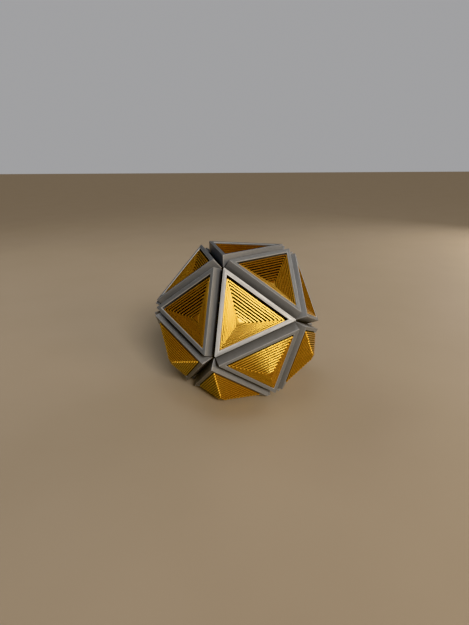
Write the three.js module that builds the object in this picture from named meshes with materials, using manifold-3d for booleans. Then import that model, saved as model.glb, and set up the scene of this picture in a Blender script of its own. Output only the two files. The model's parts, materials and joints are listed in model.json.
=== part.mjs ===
// Icosahedral fidget puzzle: twenty straight-sided triangular frames, each holding a stack of nested
// triangular rings round a solid centre triangle. The rings telescope along the face's normal, inwards on
// faces that look up and outwards on faces that look down. Millimetres, +Z up, origin at the centre of
// the base frame's outer face, one corner of the top frame towards -Y.
import * as THREE from 'three';
import { mergeVertices } from 'three/addons/utils/BufferGeometryUtils.js';
import Module from 'manifold-3d';

const wasm = await Module();
wasm.setup();

// Overall sizes
const EDGE = 56;              // edge of the icosahedron on which the frames' inner edges lie
const FRAME_HEIGHT = 8;       // frame and ring height, along the face's normal
const FRAME_GAP = 0.2;        // each frame's side wall stands this far inside the lattice edge
const CORNER_BLUNTING = 0.9;  // how far each pointed corner of a frame is cut back

// Frame wall
const RIM_WIDTH = 2.45;       // flat rim seen on the frame's outer and inner face
const LIP_DEPTH = 0.6;        // height of the bevel between the rim and the opening's neck
const LIP_WIDTH = 0.3;        // width of that bevel
const GROOVE_DEPTH = 0.76;    // how much wider the opening is at mid-height, where the first ring bulges

// Rings
const RING_COUNT = 10;        // rings between the frame and the centre triangle
const OUTER_STAGE_RINGS = 5;  // rings of the outer stage; the rest and the centre are the inner stage
const RING_WALL = 0.76;       // wall of a ring, in the plane of the face
const RING_CLEARANCE = 0.33;  // running clearance between one ring and the next
const FIRST_CLEARANCE = 0.87; // from the frame's rim to the first ring, at the outer face

// How the stacks lie at rest. fall: how far the centre triangle stands out of its frame along the face's
// normal (negative is inwards). nestle: how far it has slid down the face. lean: corner or edge it slid to.
const REST = {
  top:   { fall: -13.2, nestle: 0 },
  crown: { fall: -5.5, nestle: 4.2, lean: 'corner' },
  upper: { fall: -3.8, nestle: 5.4, lean: 'corner' },
  lower: { fall: 8.6, nestle: 1.2, lean: 'corner' },
  foot:  { fall: 9.8, nestle: 0.2, lean: 'edge' },
  base:  { fall: 0, nestle: 0 },
};

// Colours: satin grey frames, silk gold rings
const FRAME_MATERIAL = { color: 0x7c7f84, roughness: 0.45, metalness: 0.25 };
const RING_MATERIAL = { color: 0xd9a02c, roughness: 0.32, metalness: 0.55 };

// Worked out from the sizes above
const GOLDEN = (1 + Math.sqrt(5)) / 2;
const LATTICE_INRADIUS = EDGE / (2 * Math.sqrt(3));              // of one lattice triangle
const LATTICE_HEIGHT = EDGE * GOLDEN * GOLDEN / (2 * Math.sqrt(3)); // centre to a lattice face
const FACE_HEIGHT = LATTICE_HEIGHT + FRAME_HEIGHT;               // centre to a frame's outer face
const WALL_INRADIUS = LATTICE_INRADIUS - FRAME_GAP;              // a frame's side walls
const OPENING_INRADIUS = WALL_INRADIUS - RIM_WIDTH;              // a frame's opening, at its rim
const RING_PITCH = RING_WALL + RING_CLEARANCE;
const STEPS = RING_COUNT + 1;                                    // telescoping steps, frame to centre
const SAME_LEVEL = 1e-3 * EDGE;

/** Inradius of the outline of ring k; the centre triangle is ring RING_COUNT + 1. */
function ringInradius(k) {
  return OPENING_INRADIUS - FIRST_CLEARANCE - (k - 1) * RING_PITCH;
}

/** Ring k's place in a stack at rest: its height above the frame's rim and its slide along local +X. */
function ringPlace(k, rest) {
  return { z: rest.fall * k / STEPS, slide: rest.nestle * k / STEPS };
}

/** Corners, at one height, of a triangle of the given inradius whose corners start at `turn`. */
function triangleLoop({ inradius, z, slide = 0 }, turn) {
  return [0, 1, 2].map((corner) => {
    const angle = turn + corner * 2 * Math.PI / 3;
    return [slide + 2 * inradius * Math.cos(angle), 2 * inradius * Math.sin(angle), z];
  });
}

/** A closed solid through a list of triangular loops. A ring joins its last loop to its first. */
function loftTriangles(loops, turn, isRing) {
  const vertices = loops.flatMap((loop) => triangleLoop(loop, turn));
  const faces = [];
  const bands = isRing ? loops.length : loops.length - 1;
  for (let band = 0; band < bands; band += 1) {
    const low = band * 3;
    const high = ((band + 1) % loops.length) * 3;
    for (let corner = 0; corner < 3; corner += 1) {
      const next = (corner + 1) % 3;
      faces.push([low + corner, low + next, high + next], [low + corner, high + next, high + corner]);
    }
  }
  if (!isRing) {
    const last = (loops.length - 1) * 3;
    faces.push([2, 1, 0], [last, last + 1, last + 2]);
  }
  const geometry = new THREE.BufferGeometry();
  geometry.setAttribute('position', new THREE.Float32BufferAttribute(vertices.flat(), 3));
  geometry.setIndex(faces.flat());
  return geometry;
}

/** A manifold-3d solid from a closed three.js geometry. */
function toSolid(geometry) {
  const bare = geometry.clone();
  bare.deleteAttribute('normal');
  bare.deleteAttribute('uv');
  const merged = mergeVertices(bare, 1e-4);
  return new wasm.Manifold(new wasm.Mesh({
    numProp: 3,
    vertProperties: new Float32Array(merged.attributes.position.array),
    triVerts: new Uint32Array(merged.index.array),
  }));
}

/** A three.js geometry from a manifold-3d solid. */
function toGeometry(solid) {
  const mesh = solid.getMesh();
  const geometry = new THREE.BufferGeometry();
  geometry.setAttribute('position', new THREE.BufferAttribute(mesh.vertProperties, 3));
  geometry.setIndex(new THREE.BufferAttribute(mesh.triVerts, 1));
  return geometry;
}

/** A frame's outside: a straight triangular prism with blunted corners, its rim at z = 0. */
function frameBlank(turn) {
  const outline = new THREE.Shape();
  const halfCut = CORNER_BLUNTING * Math.tan(Math.PI / 6);
  for (let corner = 0; corner < 3; corner += 1) {
    const angle = turn + corner * 2 * Math.PI / 3;
    const reach = 2 * WALL_INRADIUS - CORNER_BLUNTING;
    for (const side of [-1, 1]) {
      const x = reach * Math.cos(angle) - side * halfCut * Math.sin(angle);
      const y = reach * Math.sin(angle) + side * halfCut * Math.cos(angle);
      if (corner === 0 && side === -1) outline.moveTo(x, y);
      else outline.lineTo(x, y);
    }
  }
  const blank = new THREE.ExtrudeGeometry(outline, { depth: FRAME_HEIGHT, bevelEnabled: false });
  return blank.translate(0, 0, -FRAME_HEIGHT);
}

/** The space inside a frame: a bevelled lip, a neck and a wide middle, the same on both faces. */
function frameOpening(turn) {
  const beyond = 1;
  const neck = OPENING_INRADIUS - LIP_WIDTH;
  const lipSlope = LIP_WIDTH / LIP_DEPTH;
  const flare = OPENING_INRADIUS + beyond * lipSlope;
  return loftTriangles([
    { inradius: flare, z: -FRAME_HEIGHT - beyond },
    { inradius: neck, z: -FRAME_HEIGHT + LIP_DEPTH },
    { inradius: neck + GROOVE_DEPTH, z: -FRAME_HEIGHT / 2 },
    { inradius: neck, z: -LIP_DEPTH },
    { inradius: flare, z: beyond },
  ], turn, false);
}

/** One frame, with its opening cut through. */
function frameGeometry(turn) {
  return toGeometry(toSolid(frameBlank(turn)).subtract(toSolid(frameOpening(turn))));
}

/** The steps that rings `first` to `last` make on one face of the stack, from the outside inwards. */
function stairLoops(first, last, rest, drop) {
  const loops = [];
  for (let k = first; k <= last; k += 1) {
    const place = ringPlace(k, rest);
    const loop = { inradius: ringInradius(k), slide: place.slide };
    if (k > first && rest.fall !== 0) loops.push({ ...loop, z: ringPlace(k - 1, rest).z - drop });
    if (k === first || rest.fall !== 0) loops.push({ ...loop, z: place.z - drop });
  }
  return loops;
}

/** Rings 1 to OUTER_STAGE_RINGS as one stepped ring, open in the middle for the inner stage. */
function outerStageGeometry(rest, turn) {
  const next = OUTER_STAGE_RINGS + 1;
  const hole = { inradius: ringInradius(next) + RING_CLEARANCE, slide: ringPlace(next, rest).slide };
  const level = ringPlace(OUTER_STAGE_RINGS, rest).z;
  const top = stairLoops(1, OUTER_STAGE_RINGS, rest, 0);
  const bottom = stairLoops(1, OUTER_STAGE_RINGS, rest, FRAME_HEIGHT).reverse();
  const holeTop = { ...hole, z: level };
  const holeBottom = { ...hole, z: level - FRAME_HEIGHT };
  return loftTriangles([holeBottom, ...bottom, ...top, holeTop], turn, true);
}

/** The remaining rings and the centre triangle as one stepped plug. */
function innerStageGeometry(rest, turn) {
  const first = OUTER_STAGE_RINGS + 1;
  const top = stairLoops(first, STEPS, rest, 0);
  const bottom = stairLoops(first, STEPS, rest, FRAME_HEIGHT);
  return loftTriangles([...bottom.reverse(), ...top], turn, false);
}

/** The twelve corners of the lattice, centred on the origin with one face level and uppermost. */
function latticeCorners() {
  const capRadius = EDGE / Math.sqrt(3);
  const beltRadius = GOLDEN * capRadius;
  const beltHeight = Math.sqrt(capRadius ** 2 + LATTICE_HEIGHT ** 2 - beltRadius ** 2);
  const upperHalf = [0, 1, 2].flatMap((side) => {
    const angle = -Math.PI / 2 + side * 2 * Math.PI / 3;
    const outward = new THREE.Vector3(Math.cos(angle), Math.sin(angle), 0);
    const cap = outward.clone().multiplyScalar(capRadius).setZ(LATTICE_HEIGHT);
    const belt = outward.clone().multiplyScalar(-beltRadius).setZ(beltHeight);
    return [cap, belt];
  });
  return upperHalf.flatMap((corner) => [corner, corner.clone().negate()]);
}

/** The lattice's twenty faces, as lists of three corners. */
function latticeFaces() {
  const corners = latticeCorners();
  const adjacent = (a, b) => Math.abs(a.distanceTo(b) - EDGE) < SAME_LEVEL;
  const faces = [];
  corners.forEach((a, i) => corners.slice(i + 1).forEach((b, j) => {
    if (!adjacent(a, b)) return;
    corners.slice(i + j + 2).filter((c) => adjacent(a, c) && adjacent(b, c))
      .forEach((c) => faces.push([a, b, c]));
  }));
  return faces;
}

/** Which tier of the ball a face belongs to, from how far its normal points up. */
function tierOf(normal) {
  if (normal.z > 0.9) return 'top';
  if (normal.z > 0.5) return 'crown';
  if (normal.z > 0) return 'upper';
  if (normal.z > -0.5) return 'lower';
  if (normal.z > -0.9) return 'foot';
  return 'base';
}

/** Where a face's stack slides to: its lowest corner, or the middle of its lowest edge. */
function lowestPoint(corners, rest) {
  const byHeight = [...corners].sort((a, b) => a.z - b.z);
  if (rest.lean === 'edge') return byHeight[0].clone().lerp(byHeight[1], 0.5);
  return byHeight[0].clone();
}

/** Tier, place and local axes of one face: +Z out of the face, +X towards where its stack leans. */
function faceLayout(corners) {
  const centre = corners.reduce((sum, corner) => sum.add(corner), new THREE.Vector3()).divideScalar(3);
  const outward = centre.clone().normalize();
  const tier = tierOf(outward);
  const rest = REST[tier];
  const down = lowestPoint(corners, rest).sub(centre).normalize();
  const across = outward.clone().cross(down);
  const azimuth = (Math.atan2(outward.x, -outward.y) + 2 * Math.PI) % (2 * Math.PI);
  return {
    tier,
    rest,
    azimuth,
    turn: rest.lean === 'edge' ? Math.PI / 3 : 0,
    basis: new THREE.Matrix4().makeBasis(down, across, outward),
    position: outward.multiplyScalar(FACE_HEIGHT).add(new THREE.Vector3(0, 0, FACE_HEIGHT)),
  };
}

/** One mesh with its own material. */
function piece(name, geometry, finish) {
  const mesh = new THREE.Mesh(geometry, new THREE.MeshStandardMaterial(finish));
  mesh.name = name;
  return mesh;
}

/** One face of the ball: its frame and the two stages of rings in it. */
function faceGroup(name, face) {
  const group = new THREE.Group();
  group.name = name;
  group.add(piece(`${name}_frame`, frameGeometry(face.turn), FRAME_MATERIAL));
  group.add(piece(`${name}_outer_rings`, outerStageGeometry(face.rest, face.turn), RING_MATERIAL));
  group.add(piece(`${name}_inner_rings`, innerStageGeometry(face.rest, face.turn), RING_MATERIAL));
  group.quaternion.setFromRotationMatrix(face.basis);
  group.position.copy(face.position);
  return group;
}

/** All twenty faces. A tier's faces are numbered by azimuth, from -Y towards +X. */
function puzzle() {
  const ball = new THREE.Group();
  ball.name = 'icosahedral_ring_puzzle';
  const layouts = latticeFaces().map(faceLayout).sort((a, b) => a.azimuth - b.azimuth);
  for (const tier of Object.keys(REST)) {
    const faces = layouts.filter((face) => face.tier === tier);
    faces.forEach((face, index) => {
      ball.add(faceGroup(faces.length > 1 ? `${tier}_${index + 1}` : tier, face));
    });
  }
  return ball;
}

export default puzzle();
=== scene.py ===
"""Looks of an icosahedral ring puzzle.

Twenty printed frames hold ten loose rings and a centre triangle each. Everything is in metres, in the frame
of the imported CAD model. Each piece is modelled once with edit-mode tools in the local axes of a face (+Z out
of the face, +X towards a corner, rim at z = 0), then copied with its own mesh to each face that uses it.
"""

import json
import logging
import math
from collections.abc import Callable
from dataclasses import dataclass
from enum import Enum

import bpy
from mathutils import Matrix, Vector


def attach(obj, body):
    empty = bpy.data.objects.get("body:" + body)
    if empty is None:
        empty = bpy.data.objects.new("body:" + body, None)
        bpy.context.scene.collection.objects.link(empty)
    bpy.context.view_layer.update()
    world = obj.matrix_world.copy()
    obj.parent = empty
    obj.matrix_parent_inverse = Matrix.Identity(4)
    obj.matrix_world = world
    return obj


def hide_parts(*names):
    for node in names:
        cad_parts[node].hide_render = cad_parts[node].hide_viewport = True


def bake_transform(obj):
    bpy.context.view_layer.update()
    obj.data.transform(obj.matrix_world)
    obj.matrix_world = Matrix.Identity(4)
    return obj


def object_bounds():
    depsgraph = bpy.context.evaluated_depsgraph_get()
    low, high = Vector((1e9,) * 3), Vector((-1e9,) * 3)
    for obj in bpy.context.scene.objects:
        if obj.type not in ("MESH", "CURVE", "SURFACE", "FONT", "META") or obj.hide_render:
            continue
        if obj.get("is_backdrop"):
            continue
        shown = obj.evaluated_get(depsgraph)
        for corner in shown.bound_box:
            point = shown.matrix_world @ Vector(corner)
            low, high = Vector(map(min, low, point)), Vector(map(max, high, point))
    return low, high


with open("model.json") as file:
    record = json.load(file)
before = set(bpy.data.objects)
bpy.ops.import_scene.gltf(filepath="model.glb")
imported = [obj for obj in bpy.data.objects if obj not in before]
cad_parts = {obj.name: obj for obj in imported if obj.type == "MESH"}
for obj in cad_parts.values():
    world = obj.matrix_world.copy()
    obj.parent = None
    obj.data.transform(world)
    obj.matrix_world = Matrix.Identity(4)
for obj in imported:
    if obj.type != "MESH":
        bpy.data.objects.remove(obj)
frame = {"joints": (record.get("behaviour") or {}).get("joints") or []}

LOG = logging.getLogger("ring_puzzle")
CORNERS = 3
THIRD_TURN = 2 * math.pi / CORNERS
MM = 1e-3
SAME = 1e-6
NEAR = 0.1 * MM

Triple = tuple[float, float, float]
Socket = bpy.types.NodeSocket
Term = float | bpy.types.NodeSocket
Shade = tuple[float, float, float, float] | bpy.types.NodeSocket
Setting = bool | int | float | str | bpy.types.NodeTree
Test = Callable[[list[Vector], Vector | None], bool]


class Lean(Enum):
    """Where gravity lets a face's stack slide to, as a sign along the local +X axis."""

    CORNER = 1.0
    EDGE = -1.0
    NONE = 0.0


class Tier(Enum):
    """The tiers of faces, from the top of the ball down."""

    TOP = "top"
    CROWN = "crown"
    UPPER = "upper"
    LOWER = "lower"
    FOOT = "foot"
    BASE = "base"


@dataclass(frozen=True)
class StackRest:
    """How the stacks of one tier lie at rest.

    Attributes:
        fall: How far the centre triangle stands out of its frame, negative inwards.
        nestle: How far it has slid in the plane of the face.
        lean: Which way it slid.
        first_slide: How much of that the first ring slid inside its frame.
    """

    fall: float
    nestle: float
    lean: Lean
    first_slide: float = 0.0

    def slide(self, ring: int, steps: int) -> float:
        """How far one ring has slid: the steps are short at both ends of the stack and long in its middle.

        Args:
            ring: The ring's number, 1 next to the frame.
            steps: The number of steps from the frame to the centre triangle.

        Returns:
            The slide along the local +X axis.
        """
        share = (ring - 1) / (steps - 1)
        eased = share * share * (3 - 2 * share)
        return self.lean.value * (self.first_slide + (self.nestle - self.first_slide) * eased)


REST = {
    Tier.TOP: StackRest(-13.2 * MM, 0.0, Lean.NONE),
    Tier.CROWN: StackRest(-5.5 * MM, 4.2 * MM, Lean.CORNER, 0.7 * MM),
    Tier.UPPER: StackRest(-3.8 * MM, 5.3 * MM, Lean.CORNER, 1.0 * MM),
    Tier.LOWER: StackRest(8.6 * MM, 1.2 * MM, Lean.CORNER, 0.1 * MM),
    Tier.FOOT: StackRest(9.8 * MM, 0.2 * MM, Lean.EDGE),
    Tier.BASE: StackRest(0.0, 0.0, Lean.NONE),
}


@dataclass(frozen=True)
class BallSizes:
    """Sizes shared by the frames and the rings: the CAD model's, but for slightly thinner ring walls."""

    edge: float = 56 * MM
    height: float = 8 * MM
    frame_gap: float = 0.2 * MM
    corner_blunting: float = 0.9 * MM
    rim_width: float = 2.45 * MM
    lip_depth: float = 0.6 * MM
    lip_width: float = 0.3 * MM
    groove_depth: float = 0.76 * MM
    ring_count: int = 10
    leading_ring: int = 4
    ring_wall: float = 0.69 * MM
    ring_pitch: float = 1.09 * MM
    ring_bulge: float = 1.0 * MM
    first_clearance: float = 0.87 * MM

    @property
    def wall_inradius(self) -> float:
        """Inradius of a frame's side walls."""
        return self.edge / (2 * math.sqrt(CORNERS)) - self.frame_gap

    @property
    def opening_inradius(self) -> float:
        """Inradius of a frame's opening at its rim."""
        return self.wall_inradius - self.rim_width

    @property
    def steps(self) -> int:
        """Telescoping steps from the frame to the centre triangle."""
        return self.ring_count + 1

    def ring_inradius(self, ring: int) -> float:
        """Inradius of the outline of one ring; the centre triangle comes after the last ring."""
        return self.opening_inradius - self.first_clearance - (ring - 1) * self.ring_pitch


SIZES = BallSizes()


@dataclass(frozen=True)
class FaceFrame:
    """One face of the ball and its local axes.

    Attributes:
        name: The face's name in the CAD model.
        tier: The tier it belongs to.
        origin: Centre of the frame's outer face.
        corner: Unit vector towards the corner that local +X points at.
        normal: Unit vector out of the face.
    """

    name: str
    tier: Tier
    origin: Vector
    corner: Vector
    normal: Vector

    @property
    def rest(self) -> StackRest:
        """How this face's stack lies at rest."""
        return REST[self.tier]

    def matrix(self) -> Matrix:
        """Where the face is.

        Returns:
            The transform from the face's local axes to the row frame.
        """
        across = self.normal.cross(self.corner)
        turn = Matrix((self.corner, across, self.normal)).transposed()
        return Matrix.Translation(self.origin) @ turn.to_4x4()

    def ring_matrix(self, ring: int) -> Matrix:
        """Where one ring of the resting stack is, as a transform from local axes to the row frame.

        Args:
            ring: The ring's number, 1 next to the frame.

        Returns:
            The transform that places a ring modelled with its rim at z = 0.
        """
        slide = self.rest.slide(ring, SIZES.steps)
        fall = self.rest.fall * ring / SIZES.steps
        return self.matrix() @ Matrix.Translation((slide, 0, fall))


class FaceTable:
    """The ball's faces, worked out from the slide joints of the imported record."""

    NEIGHBOURS = 3
    HEIGHT_DIGITS = 3

    def __init__(self, joints: list[dict]) -> None:
        """Reads every face's name and normal.

        Args:
            joints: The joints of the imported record.
        """
        low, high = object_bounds()
        self.centre = (low + high) / 2
        self.reach = (high.z - low.z) / 2
        self.normals = {
            joint["name"].removesuffix("_outer_slide"): Vector(joint["axis"]).normalized()
            for joint in joints
            if joint["name"].endswith("_outer_slide")
        }

    def faces(self) -> list[FaceFrame]:
        """Builds the local axes of every face.

        Returns:
            One FaceFrame for each face, in the record's order.
        """
        return [self._face(name) for name in self.normals]

    def _face(self, name: str) -> FaceFrame:
        """Builds the local axes of one face.

        Args:
            name: The face's name.

        Returns:
            The face with +X towards its lowest corner, or away from its lowest edge.
        """
        normal = self.normals[name]
        tier = Tier(name.split("_")[0])
        others = [other for other in self.normals.values() if (other - normal).length > MM]
        nearest = sorted(others, key=lambda other: -other.dot(normal))[: self.NEIGHBOURS]
        corners = [-(other - normal * other.dot(normal)).normalized() for other in nearest]
        if REST[tier].lean is Lean.EDGE:
            corner = max(corners, key=lambda way: way.z)
        else:
            corner = min(corners, key=lambda way: (round(way.z, self.HEIGHT_DIGITS), way.y))
        origin = self.centre + normal * self.reach
        return FaceFrame(name, tier, origin, corner, normal)


# Node helpers


class Graph:
    """A thin helper that adds and links shader nodes in one node tree."""

    def __init__(self, tree: bpy.types.NodeTree) -> None:
        """Starts on one node tree.

        Args:
            tree: The tree that gets the nodes.
        """
        self.tree = tree

    def node(self, kind: str, inputs: dict | None = None, **settings: Setting) -> bpy.types.Node:
        """Adds one node.

        Args:
            kind: The node's type name.
            inputs: Socket name or number to a value or to an output socket that feeds it.
            **settings: Attributes of the node itself.

        Returns:
            The new node.
        """
        made = self.tree.nodes.new(kind)
        for name, value in settings.items():
            setattr(made, name, value)
        for socket, value in (inputs or {}).items():
            if isinstance(value, Socket):
                self.tree.links.new(value, made.inputs[socket])
            else:
                made.inputs[socket].default_value = value
        return made

    def math(self, operation: str, *terms: Term) -> Socket:
        """Adds a Math node and returns its output; each term is a number or a socket."""
        made = self.node("ShaderNodeMath", dict(enumerate(terms)), operation=operation)
        return made.outputs[0]

    def remap(self, value: Socket, low: float, high: float, to_low: float, to_high: float) -> Socket:
        """Maps a value smoothly from one range onto another.

        Args:
            value: The value to map.
            low: The value that becomes to_low.
            high: The value that becomes to_high.
            to_low: The result at and below low.
            to_high: The result at and above high.

        Returns:
            The mapped value.
        """
        made = self.node(
            "ShaderNodeMapRange",
            {"Value": value, "From Min": low, "From Max": high, "To Min": to_low, "To Max": to_high},
            interpolation_type="SMOOTHSTEP",
        )
        return made.outputs["Result"]

    def mix(self, factor: Term, first: Shade, second: Shade) -> Socket:
        """Mixes two colours.

        Args:
            factor: The share of the second colour.
            first: A colour or a socket.
            second: A colour or a socket.

        Returns:
            The mixed colour.
        """
        made = self.node("ShaderNodeMix", data_type="RGBA")
        for socket, value in ((made.inputs[0], factor), (made.inputs[6], first), (made.inputs[7], second)):
            if isinstance(value, Socket):
                self.tree.links.new(value, socket)
            else:
                socket.default_value = value
        return made.outputs[2]


class PrintedLines:
    """A node group for the lines that a printing nozzle leaves.

    It reads a UV map whose U runs along the lines in millimetres, and whose V counts them: up from 0 on level
    faces, and down from 0 on walls. An attribute says how many layers of the walls stand clear of the next
    piece; further down, the group gives the depth at which the materials paint shade in the gaps.
    """

    NAME = "printed_lines"
    UV_NAME = "PrintLines"
    CLEAR_NAME = "ClearLayers"
    BEAD_POWER = 2.5
    STREAK_LENGTH = 0.05
    STREAK_ROUGHNESS = 0.65
    MOTTLE_SCALE = 260.0
    MOTTLE_ROUGHNESS = 0.6
    DETAIL = 3.0

    @classmethod
    def build(cls) -> bpy.types.NodeTree:
        """Makes the group.

        Returns:
            The node group. Its outputs are Bead, the height of a line; Streak, a brightness that differs from
            line to line; Mottle, a slow variation; Wall, 1 on walls; and Depth, how far down a gap a point of
            a wall lies, which sets the painted shade in the gaps.
        """
        group = bpy.data.node_groups.new(cls.NAME, "ShaderNodeTree")
        for name in ("Lines per Band", "Wall Lines", "Depth Start", "Depth End"):
            group.interface.new_socket(name, in_out="INPUT", socket_type="NodeSocketFloat")
        for name in ("Bead", "Streak", "Mottle", "Wall", "Depth"):
            group.interface.new_socket(name, in_out="OUTPUT", socket_type="NodeSocketFloat")
        graph = Graph(group)
        entry = graph.node("NodeGroupInput")
        uv = graph.node("ShaderNodeUVMap", uv_map=cls.UV_NAME)
        parts = graph.node("ShaderNodeSeparateXYZ", {0: uv.outputs[0]})
        along, line = parts.outputs[0], parts.outputs[1]
        within = graph.math("FRACT", line)
        from_middle = graph.math("ABSOLUTE", graph.math("SUBTRACT", within, 0.5))
        to_edge = graph.math("MULTIPLY", from_middle, 2.0)
        bead = graph.math("SUBTRACT", 1.0, graph.math("POWER", to_edge, cls.BEAD_POWER))
        band = graph.math("DIVIDE", line, entry.outputs["Lines per Band"])
        place = graph.node(
            "ShaderNodeCombineXYZ", {0: graph.math("MULTIPLY", along, cls.STREAK_LENGTH), 1: band, 2: 0.0}
        )
        streak = graph.node(
            "ShaderNodeTexNoise",
            {"Vector": place.outputs[0], "Scale": 1.0, "Detail": cls.DETAIL, "Roughness": cls.STREAK_ROUGHNESS},
        )
        spot = graph.node("ShaderNodeTexCoord")
        mottle = graph.node(
            "ShaderNodeTexNoise",
            {"Vector": spot.outputs["Object"], "Scale": cls.MOTTLE_SCALE, "Detail": cls.DETAIL,
             "Roughness": cls.MOTTLE_ROUGHNESS},
        )
        wall = graph.math("LESS_THAN", line, 0.0)
        # Depth, for painted shade: below the layers of a wall that stand clear of the next piece, it rises from
        # 0 to 1 between the Depth Start and Depth End layers, and the materials darken the wall there.
        from_top = graph.math("MULTIPLY", line, -1.0)
        from_bottom = graph.math("ADD", entry.outputs["Wall Lines"], line)
        clear = graph.node("ShaderNodeAttribute", attribute_name=cls.CLEAR_NAME)
        inside = graph.math("SUBTRACT", graph.math("MINIMUM", from_top, from_bottom), clear.outputs["Fac"])
        span = graph.math("SUBTRACT", entry.outputs["Depth End"], entry.outputs["Depth Start"])
        depth = graph.math("DIVIDE", graph.math("SUBTRACT", inside, entry.outputs["Depth Start"]), span)
        depth.node.use_clamp = True
        leave = graph.node("NodeGroupOutput")
        results = {"Bead": bead, "Streak": streak.outputs[0], "Mottle": mottle.outputs[0], "Wall": wall,
                   "Depth": depth}
        for socket, value in results.items():
            group.links.new(value, leave.inputs[socket])
        return group


class EdgeHighlight:
    """A node group for a painted highlight on the rounded edges, from an attribute that marks their faces."""

    NAME = "painted_edge_highlight"
    EDGE_NAME = "RoundedEdge"
    PATCH_SCALE = 420.0
    DETAIL = 4.0

    @classmethod
    def build(cls) -> bpy.types.NodeTree:
        """Makes the group.

        Returns:
            The node group, with Crest, the share of painted edge highlight, as its output.
        """
        group = bpy.data.node_groups.new(cls.NAME, "ShaderNodeTree")
        group.interface.new_socket("Breakup", in_out="INPUT", socket_type="NodeSocketFloat")
        group.interface.new_socket("Crest", in_out="OUTPUT", socket_type="NodeSocketFloat")
        graph = Graph(group)
        entry = graph.node("NodeGroupInput")
        edge = graph.node("ShaderNodeAttribute", attribute_name=cls.EDGE_NAME)
        spot = graph.node("ShaderNodeTexCoord")
        noise = graph.node(
            "ShaderNodeTexNoise",
            {"Vector": spot.outputs["Object"], "Scale": cls.PATCH_SCALE, "Detail": cls.DETAIL},
        )
        # Noise breaks the painted edge highlight into patches.
        highlight_share = graph.math("MULTIPLY", graph.math("SUBTRACT", noise.outputs[0], 0.5), entry.outputs["Breakup"])
        crest = graph.math("MULTIPLY", edge.outputs["Fac"], graph.math("ADD", 1.0, highlight_share))
        leave = graph.node("NodeGroupOutput")
        group.links.new(crest, leave.inputs["Crest"])
        return group


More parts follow.
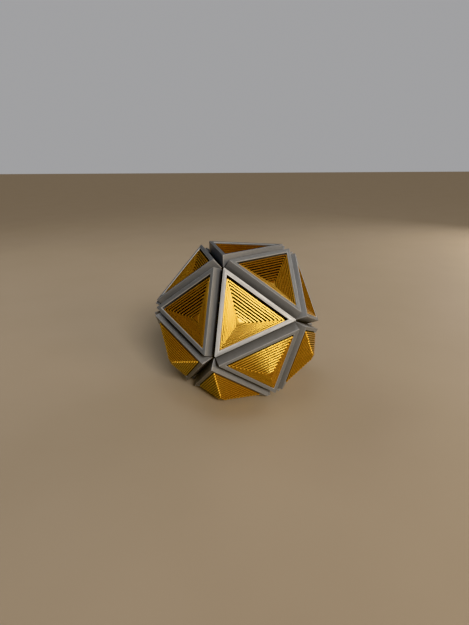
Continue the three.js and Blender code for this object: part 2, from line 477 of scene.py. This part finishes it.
@dataclass(frozen=True)
class PrintedFinish:
    """A silk or satin printed plastic: nozzle lines, mottling, painted edge highlights, painted light and shade
    on walls.

    Attributes:
        name: The material's name.
        slot: The record's material slot.
        base: Base colour.
        wall: Colour of the side walls; its difference from the base colour paints light and shade on the walls.
        deep: Colour of the darker streaks.
        inside: Painted shade: the colour of the walls down the gaps between pieces.
        pale: Colour of the painted highlight on the rounded edges.
        sheen: Colour of the highlights.
        sheen_level: Strength of the highlights.
        index: Index of refraction of the surface.
        metallic: Metallic share of the silk sheen.
        roughness: Lowest and highest roughness.
        bead_depth: Depth of the printed lines, in metres.
        streak: Strength of the line-to-line colour change.
        coat: Weight of the clear sheen over the colour.
        brushed: How far highlights stretch across the printed lines.
        wall_lines: Printed layers in a wall.
        painted_shade_lines: Layers down a gap where the painted shade starts and where it is full.
        crest: Share of the pale colour on the edges: the strength of the painted edge highlight.
    """

    LINES_PER_BAND = 1.6
    EDGE_BREAKUP = 0.5
    NOISE_LOW = 0.3
    NOISE_HIGH = 0.7
    STREAK_SHARE = 0.7
    BUMP_STRENGTH = 0.6
    BUMP_MOTTLE = 0.25
    COAT_ROUGHNESS = 0.3
    ACROSS_LINES = 0.25

    name: str
    slot: str
    base: Triple
    wall: Triple
    deep: Triple
    inside: Triple
    pale: Triple
    sheen: Triple
    sheen_level: float
    index: float
    metallic: float
    roughness: tuple[float, float]
    bead_depth: float
    streak: float
    coat: float
    brushed: float
    wall_lines: float
    painted_shade_lines: tuple[float, float]
    crest: float

    def build(self) -> bpy.types.Material:
        """Makes the material.

        Returns:
            The new material.
        """
        made = bpy.data.materials.new(self.name)
        made.use_nodes = True
        made.node_tree.nodes.clear()
        graph = Graph(made.node_tree)
        lines = graph.node("ShaderNodeGroup", node_tree=bpy.data.node_groups[PrintedLines.NAME])
        for socket, value in zip(lines.inputs, (self.LINES_PER_BAND, self.wall_lines, *self.painted_shade_lines)):
            socket.default_value = value
        edge_highlight = graph.node("ShaderNodeGroup", node_tree=bpy.data.node_groups[EdgeHighlight.NAME])
        edge_highlight.inputs["Breakup"].default_value = self.EDGE_BREAKUP
        streak = graph.remap(lines.outputs["Streak"], self.NOISE_LOW, self.NOISE_HIGH, 0.0, 1.0)
        mottle = graph.remap(lines.outputs["Mottle"], self.NOISE_LOW, self.NOISE_HIGH, 0.0, 1.0)
        streaks = graph.math("MULTIPLY", streak, self.STREAK_SHARE)
        patches = graph.math("MULTIPLY", mottle, 1.0 - self.STREAK_SHARE)
        shade = graph.math("MULTIPLY", graph.math("ADD", streaks, patches), self.streak)
        # Painted light and shade: the walls get their own colour, apart from the base colour of the level
        # faces.
        plain = graph.mix(lines.outputs["Wall"], (*self.base, 1.0), (*self.wall, 1.0))
        streaked = graph.mix(shade, plain, (*self.deep, 1.0))
        # Painted highlight: the pale colour on the rounded edges.
        highlight_share = graph.math("MULTIPLY", edge_highlight.outputs["Crest"], self.crest)
        edged = graph.mix(highlight_share, streaked, (*self.pale, 1.0))
        # Painted shade down the gaps: the inside colour here, and full roughness and full metal below, so that
        # the walls there reflect almost nothing.
        colour = graph.mix(lines.outputs["Depth"], edged, (*self.inside, 1.0))
        plain_rough = graph.remap(streak, 0.0, 1.0, *self.roughness)
        to_matt = graph.math("SUBTRACT", 1.0, plain_rough)
        rough = graph.math("MULTIPLY_ADD", lines.outputs["Depth"], to_matt, plain_rough)
        metal = graph.math("MULTIPLY_ADD", lines.outputs["Depth"], 1.0 - self.metallic, self.metallic)
        grain = graph.math("MULTIPLY", mottle, self.BUMP_MOTTLE)
        height = graph.math("ADD", lines.outputs["Bead"], grain)
        bump = graph.node(
            "ShaderNodeBump", {"Strength": self.BUMP_STRENGTH, "Distance": self.bead_depth, "Height": height}
        )
        tangent = graph.node("ShaderNodeTangent", direction_type="UV_MAP", uv_map=PrintedLines.UV_NAME)
        surface = graph.node(
            "ShaderNodeBsdfPrincipled",
            {"Base Color": colour, "Metallic": metal, "Roughness": rough, "Normal": bump.outputs[0],
             "Coat Weight": self.coat, "Coat Roughness": self.COAT_ROUGHNESS, "IOR": self.index,
             "Specular IOR Level": self.sheen_level, "Specular Tint": (*self.sheen, 1.0),
             "Anisotropic": self.brushed, "Anisotropic Rotation": self.ACROSS_LINES,
             "Tangent": tangent.outputs[0]},
        )
        leave = graph.node("ShaderNodeOutputMaterial")
        made.node_tree.links.new(surface.outputs[0], leave.inputs["Surface"])
        return made


# The frame walls are a little lighter than the base: painted light on the side walls. The pale edges are a
# painted highlight. The inside colour never shows, as its painted shade would start 60 layers down walls of 40
# layers.
FRAME_FINISH = PrintedFinish(
    name="satin_grey_print",
    slot="frame_grey",
    base=(0.195, 0.217, 0.242),
    wall=(0.21, 0.228, 0.25),
    deep=(0.11, 0.122, 0.138),
    inside=(0.04, 0.042, 0.046),
    pale=(0.45, 0.49, 0.53),
    sheen=(1.0, 1.0, 1.0),
    sheen_level=0.6,
    index=1.5,
    metallic=0.3,
    roughness=(0.4, 0.52),
    bead_depth=0.03 * MM,
    streak=0.4,
    coat=0.1,
    brushed=0.3,
    wall_lines=40.0,
    painted_shade_lines=(60.0, 61.0),
    crest=0.45,
)
# The ring walls are darker than the base: painted shade on the side walls. The pale edges are a painted
# highlight, and the black inside colour is painted shade down the gaps between rings.
RING_FINISH = PrintedFinish(
    name="silk_gold_print",
    slot="ring_gold",
    base=(0.2, 0.058, 0.018),
    wall=(0.155, 0.041, 0.011),
    deep=(0.09, 0.024, 0.006),
    inside=(0.0, 0.0, 0.0),
    pale=(0.95, 0.55, 0.12),
    sheen=(1.0, 0.93, 0.26),
    sheen_level=1.0,
    index=2.1,
    metallic=0.2,
    roughness=(0.25, 0.34),
    bead_depth=0.035 * MM,
    streak=0.6,
    coat=0.0,
    brushed=0.93,
    wall_lines=40.0,
    painted_shade_lines=(-0.9, 1.1),
    crest=0.85,
)


@dataclass(frozen=True)
class FloorFinish:
    """A matt pale table top.

    Attributes:
        name: The material's name.
        base: Its colour.
        fleck: Colour of its faint mottling.
        fleck_scale: Scale of the mottling.
        roughness: Its roughness.
    """

    name: str = "pale_table"
    base: Triple = (0.4, 0.35, 0.28)
    fleck: Triple = (0.37, 0.32, 0.25)
    fleck_scale: float = 14.0
    roughness: float = 0.62

    def build(self) -> bpy.types.Material:
        """Makes the material.

        Returns:
            The new material.
        """
        made = bpy.data.materials.new(self.name)
        made.use_nodes = True
        graph = Graph(made.node_tree)
        surface = made.node_tree.nodes["Principled BSDF"]
        spot = graph.node("ShaderNodeTexCoord")
        noise = graph.node("ShaderNodeTexNoise", {"Vector": spot.outputs["Object"], "Scale": self.fleck_scale})
        colour = graph.mix(noise.outputs[0], (*self.base, 1.0), (*self.fleck, 1.0))
        made.node_tree.links.new(colour, surface.inputs["Base Color"])
        surface.inputs["Roughness"].default_value = self.roughness
        return made


# Edit-mode helpers


class Element(Enum):
    """The kinds of mesh element that a workbench selects."""

    POINT = "VERT"
    EDGE = "EDGE"
    FACE = "FACE"


class Workbench:
    """Selects by place or normal and runs edit-mode tools on one object, as by hand.

    LEVEL_NORMAL is the least upward share of a level face's normal. ROUNDED_LOW and ROUNDED_HIGH bound that
    share on the rounding between a level face and a wall. A face with more than FACES_UP counts as level in
    the line map, and LEAST_LINE keeps level faces and walls on their own sides of line 0.
    """

    LEVEL_NORMAL = 0.9
    FACES_UP = 0.7
    ROUNDED_LOW = 0.3
    ROUNDED_HIGH = 0.98
    LEAST_LINE = 0.01
    SMOOTH_DEGREES = 35

    def __init__(self, obj: bpy.types.Object) -> None:
        """Takes one object.

        Args:
            obj: The object to work on.
        """
        self.obj = obj

    @staticmethod
    def clear() -> None:
        """Deselects everything and leaves edit mode."""
        if bpy.context.object and bpy.context.object.mode != "OBJECT":
            bpy.ops.object.mode_set(mode="OBJECT")
        bpy.ops.object.select_all(action="DESELECT")

    @classmethod
    def prism(cls, name: str, inradius: float, height: float) -> "Workbench":
        """Adds a three-sided prism whose top is at z = 0 and one corner towards +X.

        Args:
            name: The new object's name.
            inradius: The prism's inradius.
            height: Its height.

        Returns:
            A workbench that holds the prism.
        """
        cls.clear()
        bpy.ops.mesh.primitive_cylinder_add(
            vertices=CORNERS, radius=2 * inradius, depth=height, location=(0, 0, -height / 2)
        )
        obj = bpy.context.object
        obj.name = name
        obj.data.name = name
        first = max(obj.data.vertices, key=lambda vertex: vertex.co.y)
        turn = -math.atan2(first.co.y, first.co.x)
        obj.data.transform(Matrix.Translation((0, 0, -height / 2)))
        obj.data.transform(Matrix.Rotation(turn, 4, "Z"))
        obj.location = (0, 0, 0)
        return cls(obj)

    def select(self, kind: Element, test: Test) -> int:
        """Selects the elements of one kind that pass a test and nothing else, and stays in edit mode.

        Args:
            kind: The kind of element.
            test: A test of an element's points and, for a face, of its normal.

        Returns:
            How many were selected.
        """
        bpy.context.view_layer.objects.active = self.obj
        bpy.ops.object.mode_set(mode="EDIT")
        bpy.ops.mesh.select_mode(type=kind.value)
        bpy.ops.mesh.select_all(action="DESELECT")
        bpy.ops.object.mode_set(mode="OBJECT")
        mesh = self.obj.data
        points = mesh.vertices
        if kind is Element.POINT:
            rows = [(vertex, [vertex.co], None) for vertex in points]
        elif kind is Element.EDGE:
            rows = [(edge, [points[i].co for i in edge.vertices], None) for edge in mesh.edges]
        else:
            rows = [(face, [points[i].co for i in face.vertices], face.normal) for face in mesh.polygons]
        count = 0
        for element, corners, normal in rows:
            element.select = bool(test(corners, normal))
            count += element.select
        bpy.ops.object.mode_set(mode="EDIT")
        return count

    def open_through(self, wall: float) -> None:
        """Insets the top and bottom faces and bridges them into a hole.

        Args:
            wall: The wall's width that is left round the hole.
        """
        self.select(Element.FACE, lambda points, normal: abs(normal.z) > self.LEVEL_NORMAL)
        bpy.ops.mesh.inset(thickness=wall, use_even_offset=True, use_boundary=True)
        bpy.ops.mesh.bridge_edge_loops()
        bpy.ops.object.mode_set(mode="OBJECT")

    def cut_level(self, z: float, wanted: Test = lambda points, normal: True) -> None:
        """Cuts the faces that pass a test with a level plane.

        Args:
            z: The plane's height.
            wanted: The test; without it all faces are cut.
        """
        self.select(Element.FACE, wanted)
        bpy.ops.mesh.bisect(plane_co=(0, 0, z), plane_no=(0, 0, 1))
        bpy.ops.object.mode_set(mode="OBJECT")

    def grow_level(self, z: float, inradius: float, by: float) -> None:
        """Moves one level loop outwards, so that its inradius grows.

        Args:
            z: The loop's height.
            inradius: The loop's inradius now.
            by: How much it grows.
        """
        reach = 2 * inradius
        self.select(Element.POINT, lambda points, normal: abs(points[0].z - z) < SAME
                    and abs(points[0].xy.length - reach) < NEAR)
        share = (inradius + by) / inradius
        bpy.ops.transform.resize(value=(share, share, 1), center_override=(0, 0, z))
        bpy.ops.object.mode_set(mode="OBJECT")

    def bevel_edges(self, test: Test, width: float, segments: int) -> None:
        """Bevels the edges that pass a test.

        Args:
            test: The test.
            width: The bevel's offset.
            segments: Its segments.
        """
        if self.select(Element.EDGE, test):
            bpy.ops.mesh.bevel(offset=width, offset_type="OFFSET", segments=segments, affect="EDGES",
                               clamp_overlap=True)
        bpy.ops.object.mode_set(mode="OBJECT")

    def soften(self, width: float, angle: float, segments: int = 2) -> None:
        """Rounds every edge sharper than an angle with a Bevel modifier and applies it.

        Args:
            width: The rounding's width.
            angle: The least angle between the faces, in degrees.
            segments: The rounding's segments.
        """
        self.clear()
        bpy.context.view_layer.objects.active = self.obj
        self.obj.select_set(True)
        rounding = self.obj.modifiers.new("rounding", "BEVEL")
        rounding.width = width
        rounding.segments = segments
        rounding.limit_method = "ANGLE"
        rounding.angle_limit = math.radians(angle)
        rounding.harden_normals = False
        bpy.ops.object.modifier_apply(modifier=rounding.name)
        bpy.ops.object.shade_smooth_by_angle(angle=math.radians(self.SMOOTH_DEGREES))

    def fan_ends(self, height: float) -> None:
        """Splits a solid piece's two level ends into fans, so that each side's printed lines can meet there.

        Args:
            height: The piece's height.
        """
        self.select(Element.FACE, lambda points, normal: abs(normal.z) > self.ROUNDED_HIGH
                    and min(abs(points[0].z), abs(points[0].z + height)) < SAME)
        bpy.ops.mesh.poke()
        bpy.ops.object.mode_set(mode="OBJECT")

    def print_lines(self, layer: float, bead: float) -> None:
        """Writes the UV map that the printed lines follow, and marks the faces of the rounded edges, which get
        the painted edge highlight.

        U is the distance along the side, in millimetres. V counts layers down from 0 on walls, and beads from
        the middle outwards on level faces.

        Args:
            layer: Height of a printed layer.
            bead: Width of a printed bead.
        """
        mesh = self.obj.data
        mesh.uv_layers.new(name=PrintedLines.UV_NAME)
        edges = mesh.attributes.new(EdgeHighlight.EDGE_NAME, "FLOAT", "FACE")
        sides = [Vector((math.cos(a), math.sin(a), 0))
                 for a in (math.pi + side * THIRD_TURN for side in range(CORNERS))]
        uv = mesh.uv_layers[PrintedLines.UV_NAME]
        for face in mesh.polygons:
            side = max(sides, key=lambda way: way.dot(face.center))
            along = Vector((-side.y, side.x, 0))
            upward = abs(face.normal.z)
            edges.data[face.index].value = float(self.ROUNDED_LOW < upward < self.ROUNDED_HIGH)
            for loop in face.loop_indices:
                point = mesh.vertices[mesh.loops[loop].vertex_index].co
                if upward > self.FACES_UP:
                    line = max(side.dot(point) / bead, self.LEAST_LINE)
                else:
                    line = min(point.z / layer, -self.LEAST_LINE)
                uv.data[loop].uv = (along.dot(point) / MM, line)


class StackPiece:
    """A modelled piece that is copied, each copy with its own mesh, to the faces that use it."""

    # Walls hidden at rest keep this many layers at their top free of the painted gap shade.
    LEAST_CLEAR = 3.3

    def __init__(self, pattern: bpy.types.Object, material: bpy.types.Material, slot: str) -> None:
        """Takes the modelled pattern.

        Args:
            pattern: The piece in a face's local axes.
            material: Its material.
            slot: The record's material slot; kept but not used.
        """
        self.pattern = pattern
        self.material = material
        self.slot = slot
        pattern.data.materials.clear()
        pattern.data.materials.append(material)

    def place(self, name: str, matrix: Matrix, clear: float = 0.0) -> bpy.types.Object:
        """Copies the pattern to its place.

        Args:
            name: The copy's name.
            matrix: The transform from the pattern's axes to the row frame.
            clear: How many printed layers of its walls stand clear of the next piece, above painted shade: of
                the
            outer walls where it is above 0, and of the inner walls where it is below 0. The other walls get
            LEAST_CLEAR, since they come into view when the stack slides.

        Returns:
            The copy, with its place in its mesh.
        """
        copy = self.pattern.copy()
        copy.data = self.pattern.data.copy()
        copy.name = name
        copy.data.name = name
        copy.data.transform(matrix)
        # Where the painted gap shade starts on each wall.
        layers = copy.data.attributes.new(PrintedLines.CLEAR_NAME, "FLOAT", "FACE")
        for face, value in zip(self.pattern.data.polygons, layers.data):
            outward = face.normal.xy.dot(face.center.xy)
            value.value = abs(clear) if outward * clear > 0 else self.LEAST_CLEAR
        bpy.context.scene.collection.objects.link(copy)
        return copy

    def discard(self) -> None:
        """Removes the pattern when all its copies are made."""
        mesh = self.pattern.data
        bpy.data.objects.remove(self.pattern)
        bpy.data.meshes.remove(mesh)


@dataclass
class PrintedFrame:
    """The triangular frames: a straight-walled prism with a flat rim and a waisted opening."""

    sizes: BallSizes = SIZES
    layer: float = 0.2 * MM
    bead: float = 0.42 * MM
    edge_rounding: float = 0.14 * MM
    sharp_degrees: float = 38
    corner_segments: int = 3
    half_corner: float = math.pi / 6
    upright_normal: float = 0.5

    def model(self) -> bpy.types.Object:
        """Models one frame in a face's local axes.

        Returns:
            The frame.
        """
        s = self.sizes
        bench = Workbench.prism("frame_pattern", s.wall_inradius, s.height)
        bench.open_through(s.rim_width)
        opening_reach = 2 * s.opening_inradius + MM
        outer_reach = 2 * s.wall_inradius

        def lines_opening(points: list[Vector], normal: Vector) -> bool:
            """Whether a face is an upright wall of the opening."""
            is_upright = abs(normal.z) < self.upright_normal
            return is_upright and all(point.xy.length < opening_reach for point in points)

        def is_outer_corner(points: list[Vector], normal: None) -> bool:
            """Whether an edge runs up a corner of the outer walls."""
            is_outer = all(abs(point.xy.length - outer_reach) < NEAR for point in points)
            return is_outer and (points[0] - points[1]).xy.length < NEAR

        for level in (-s.lip_depth, -s.height / 2, s.lip_depth - s.height):
            bench.cut_level(level, lines_opening)
        for level, by in ((-s.lip_depth, -s.lip_width), (s.lip_depth - s.height, -s.lip_width),
                          (-s.height / 2, s.groove_depth - s.lip_width)):
            bench.grow_level(level, s.opening_inradius, by)
        blunting = s.corner_blunting * math.tan(self.half_corner) * 2
        bench.bevel_edges(is_outer_corner, blunting, self.corner_segments)
        bench.soften(self.edge_rounding, self.sharp_degrees)
        bench.print_lines(self.layer, self.bead)
        return bench.obj


@dataclass
class PrintedRing:
    """One loose ring: a thin triangular band that bulges at mid-height, so that its neighbours keep it."""

    number: int
    sizes: BallSizes = SIZES
    layer: float = 0.2 * MM
    bead: float = 0.38 * MM
    corner_rounding: float = 0.95 * MM
    hole_rounding: float = 0.2 * MM
    edge_rounding: float = 0.17 * MM
    sharp_degrees: float = 50
    corner_segments: int = 3
    hole_segments: int = 2
    slack: float = 0.15 * MM

    def model(self) -> bpy.types.Object:
        """Models the ring in a face's local axes.

        Returns:
            The ring.
        """
        s = self.sizes
        inradius = s.ring_inradius(self.number)
        hole = inradius - s.ring_wall
        bench = Workbench.prism(f"ring_{self.number}_pattern", inradius, s.height)
        bench.open_through(s.ring_wall)
        bench.cut_level(-s.height / 2)
        bench.grow_level(-s.height / 2, inradius, s.ring_bulge)
        bench.grow_level(-s.height / 2, hole, s.ring_bulge)
        bench.bevel_edges(self._runs_up_corner(inradius), self.corner_rounding, self.corner_segments)
        bench.bevel_edges(self._runs_up_corner(hole), self.hole_rounding, self.hole_segments)
        bench.soften(self.edge_rounding, self.sharp_degrees)
        bench.print_lines(self.layer, self.bead)
        return bench.obj

    def _runs_up_corner(self, inradius: float) -> Test:
        """Makes a test for the corner edges of one wall.

        Args:
            inradius: The wall's inradius at its ends.

        Returns:
            The test.
        """
        bulge = self.sizes.ring_bulge
        half = self.sizes.height / 2
        low, high = 2 * inradius - NEAR, 2 * (inradius + bulge) + NEAR

        def test(points: list[Vector], normal: None) -> bool:
            """Checks one edge.

            Args:
                points: The edge's two ends.
                normal: Not used.

            Returns:
                Whether the edge runs up a corner of the wall.
            """
            if abs(points[0].z - points[1].z) < half - NEAR or not low < points[0].xy.length < high:
                return False
            reaches = (2 * (inradius + bulge * (1 - abs(point.z + half) / half)) for point in points)
            return all(abs(point.xy.length - reach) < self.slack for point, reach in zip(points, reaches))

        return test


@dataclass
class CentreTriangle:
    """The solid triangle in the middle of a stack."""

    sizes: BallSizes = SIZES
    layer: float = 0.2 * MM
    bead: float = 0.38 * MM
    corner_rounding: float = 0.4 * MM
    edge_rounding: float = 0.12 * MM
    sharp_degrees: float = 50
    corner_segments: int = 3

    def model(self) -> bpy.types.Object:
        """Models the centre triangle in a face's local axes.

        Returns:
            The triangle.
        """
        s = self.sizes
        inradius = s.ring_inradius(s.steps)
        bench = Workbench.prism("centre_pattern", inradius, s.height)
        bench.cut_level(-s.height / 2)
        bench.grow_level(-s.height / 2, inradius, s.ring_bulge)
        bench.bevel_edges(
            lambda points, normal: abs(points[0].z - points[1].z) > s.height / 2 - NEAR,
            self.corner_rounding, self.corner_segments,
        )
        bench.soften(self.edge_rounding, self.sharp_degrees)
        bench.fan_ends(s.height)
        bench.print_lines(self.layer, self.bead)
        return bench.obj


class RingStack:
    """Places one face's rings and centre triangle; ties the leading ring and the centre to the CAD bodies."""

    FAR = 100.0

    def __init__(self, face: FaceFrame) -> None:
        """Takes one face.

        Args:
            face: The face.
        """
        self.face = face
        self.outer = f"{face.name}_outer_stage"
        self.inner = f"{face.name}_inner_stage"

    def place(self, rings: dict[int, StackPiece], centre: StackPiece) -> int:
        """Copies the rings and the centre triangle into the face.

        Args:
            rings: Ring number to modelled ring.
            centre: The modelled centre triangle.

        Returns:
            The number of pieces placed.
        """
        # Layers of each wall that stand clear of the next ring at rest; the painted gap shade starts below
        # them.
        clear = self.face.rest.fall / SIZES.steps / PrintedRing.layer
        for number, ring in rings.items():
            name = f"{self.face.name}_ring_{number:02d}"
            placed = ring.place(name, self.face.ring_matrix(number), clear)
            self._tie(placed, number)
        placed = centre.place(f"{self.face.name}_centre", self.face.ring_matrix(SIZES.steps), clear)
        self._tie(placed, SIZES.steps)
        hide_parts(f"{self.face.name}_inner_rings")
        return len(rings) + 1

    def _tie(self, piece: bpy.types.Object, number: int) -> None:
        """Ties the leading ring to the outer slide and the centre triangle to the inner one; bakes the rest in
        place.

        Args:
            piece: The placed piece.
            number: Its ring number.
        """
        lead = SIZES.leading_ring
        if number == lead:
            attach(piece, self.outer)
            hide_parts(f"{self.face.name}_outer_rings")
        elif number == SIZES.steps:
            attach(piece, self.inner)
        elif number < lead:
            self._share(piece, "frames", self.outer)
        else:
            self._share(piece, self.outer, self.inner)

    def _share(self, piece: bpy.types.Object, first: str, second: str) -> None:
        """Bakes a piece's place into its mesh; it follows neither body.

        Args:
            piece: The placed piece.
            first: Not used.
            second: Not used.
        """
        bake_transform(piece)


class Ball:
    """The whole puzzle: every frame and every stack."""

    def __init__(self, faces: list[FaceFrame]) -> None:
        """Takes the faces.

        Args:
            faces: The ball's faces.
        """
        self.faces = faces

    def build(self) -> None:
        """Models each kind of piece once and copies it to every face."""
        grey = FRAME_FINISH.build()
        gold = RING_FINISH.build()
        frame_piece = StackPiece(PrintedFrame().model(), grey, FRAME_FINISH.slot)
        for face in self.faces:
            placed = frame_piece.place(f"{face.name}_frame_shell", face.matrix())
            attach(placed, "frames")
            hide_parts(f"{face.name}_frame")
        LOG.info("frames: %d copies of %d faces", len(self.faces), len(frame_piece.pattern.data.polygons))
        rings = {
            number: StackPiece(PrintedRing(number).model(), gold, RING_FINISH.slot)
            for number in range(1, SIZES.ring_count + 1)
        }
        centre = StackPiece(CentreTriangle().model(), gold, RING_FINISH.slot)
        for face in self.faces:
            LOG.info("%s: %d rings and centre", face.name, RingStack(face).place(rings, centre))
        for piece in (frame_piece, centre, *rings.values()):
            piece.discard()


class LampKind(Enum):
    """The kinds of light."""

    SUN = "SUN"
    PANEL = "AREA"


@dataclass(frozen=True)
class Lamp:
    """One soft light aimed at the ball.

    Attributes:
        name: The light's name.
        kind: A sun, which lights the whole table evenly, or a square panel.
        place: Where it shines from.
        width: The side of a panel, or the angle of a sun in degrees.
        power: The power of a panel in watts, or the strength of a sun.
        colour: Its colour.
    """

    name: str
    kind: LampKind
    place: Triple
    width: float
    power: float
    colour: Triple

    def build(self, target: Vector) -> None:
        """Adds the light.

        Args:
            target: The point that it is aimed at.
        """
        light = bpy.data.lights.new(self.name, self.kind.value)
        if self.kind is LampKind.SUN:
            light.angle = math.radians(self.width)
        else:
            light.size = self.width
        light.energy = self.power
        light.color = self.colour
        lamp = bpy.data.objects.new(self.name, light)
        lamp.location = self.place
        lamp.rotation_euler = (target - Vector(self.place)).to_track_quat("-Z", "Y").to_euler()
        bpy.context.scene.collection.objects.link(lamp)


LAMPS = (
    Lamp("key", LampKind.SUN, (0.48, -0.64, 0.46), 18.0, 3.3, (1.0, 0.87, 0.74)),
    Lamp("side", LampKind.PANEL, (0.75, -0.43, 0.28), 0.3, 2.6, (1.0, 0.72, 0.42)),
    Lamp("top", LampKind.PANEL, (0.0, -0.08, 0.95), 0.4, 0.9, (0.95, 0.97, 1.0)),
    Lamp("back", LampKind.PANEL, (0.45, 0.7, 0.35), 0.5, 2.0, (1.0, 0.9, 0.8)),
    Lamp("fill", LampKind.PANEL, (-0.6, 0.2, 0.6), 0.5, 1.0, (1.0, 0.93, 0.86)),
)


@dataclass
class Studio:
    """The table, the lights and the camera.

    Attributes:
        centre: The ball's centre.
        floor_size: Side of the table top.
        floor_cuts: Cuts across the table top.
        azimuth: The camera's direction from the ball, in degrees from -Y towards +X.
        distance: The camera's level distance from the ball.
        height: The camera's height.
        lens: Focal length, in millimetres.
        sensor: Sensor size, in millimetres.
        roll: The camera's roll, in degrees.
        aim_right: How far to the right of the ball's centre the camera aims.
        aim_up: How far above the ball's centre the camera aims.
        clip_start: Nearest distance that the camera sees.
        world_colour: Colour of the room's even light.
        world_strength: Its strength.
        backdrop_strength: Strength of the backdrop behind the table.
    """

    centre: Vector
    floor_size: float = 12.0
    floor_cuts: int = 4
    azimuth: float = 17.904
    distance: float = 0.316866
    height: float = 0.155924
    lens: float = 27.007
    sensor: float = 36.0
    roll: float = -0.789
    aim_right: float = -0.003277
    aim_up: float = 0.002911
    clip_start: float = 0.01
    world_colour: Triple = (0.98, 0.98, 1.0)
    world_strength: float = 0.08
    backdrop_strength: float = 0.4

    def build(self) -> None:
        """Builds the floor, the lights and the camera."""
        self._floor()
        self._world()
        for lamp in LAMPS:
            lamp.build(self.centre)
        self._camera()
        bpy.context.scene.view_settings.view_transform = "Khronos PBR Neutral"
        LOG.info("studio: lamps %s", ", ".join(lamp.name for lamp in LAMPS))

    def _floor(self) -> None:
        """Adds the table top, just under the resting rim."""
        Workbench.clear()
        bpy.ops.mesh.primitive_plane_add(size=self.floor_size, location=(0, 0, 0))
        floor = bpy.context.object
        floor.name = "floor"
        bpy.ops.object.mode_set(mode="EDIT")
        bpy.ops.mesh.subdivide(number_cuts=self.floor_cuts)
        bpy.ops.object.mode_set(mode="OBJECT")
        floor.data.materials.append(FloorFinish().build())
        floor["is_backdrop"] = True

    def _world(self) -> None:
        """Sets the even light of the room, with a paler backdrop behind the table."""
        world = bpy.data.worlds.new("room")
        world.use_nodes = True
        graph = Graph(world.node_tree)
        sight = graph.node("ShaderNodeLightPath")
        backdrop = self.backdrop_strength - self.world_strength
        surface = world.node_tree.nodes["Background"]
        surface.inputs["Color"].default_value = (*self.world_colour, 1.0)
        strength = graph.math("MULTIPLY_ADD", sight.outputs["Is Camera Ray"], backdrop, self.world_strength)
        world.node_tree.links.new(strength, surface.inputs["Strength"])
        bpy.context.scene.world = world

    def _camera(self) -> None:
        """Adds the camera at its place and makes it the scene's."""
        angle = math.radians(self.azimuth)
        place = Vector((math.sin(angle) * self.distance, -math.cos(angle) * self.distance, self.height))
        to_ball = (self.centre - place).normalized()
        right = to_ball.cross(Vector((0, 0, 1))).normalized()
        up = right.cross(to_ball)
        target = self.centre + right * self.aim_right + up * self.aim_up
        aim = (target - place).to_track_quat("-Z", "Y").to_matrix()
        data = bpy.data.cameras.new("camera")
        data.lens = self.lens
        data.sensor_width = self.sensor
        data.clip_start = self.clip_start
        camera = bpy.data.objects.new("camera", data)
        turned = aim @ Matrix.Rotation(math.radians(self.roll), 3, "Z")
        camera.matrix_world = Matrix.Translation(place) @ turned.to_4x4()
        bpy.context.scene.collection.objects.link(camera)
        bpy.context.scene.camera = camera


def main() -> None:
    """Builds the studio and the ball."""
    logging.basicConfig(level=logging.INFO, format="%(name)s: %(message)s")
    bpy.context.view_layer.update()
    table = FaceTable(frame["joints"])
    Studio(centre=table.centre).build()
    PrintedLines.build()
    EdgeHighlight.build()
    Ball(table.faces()).build()
    LOG.info("boxes written")


if __name__ == "__main__":
    main()
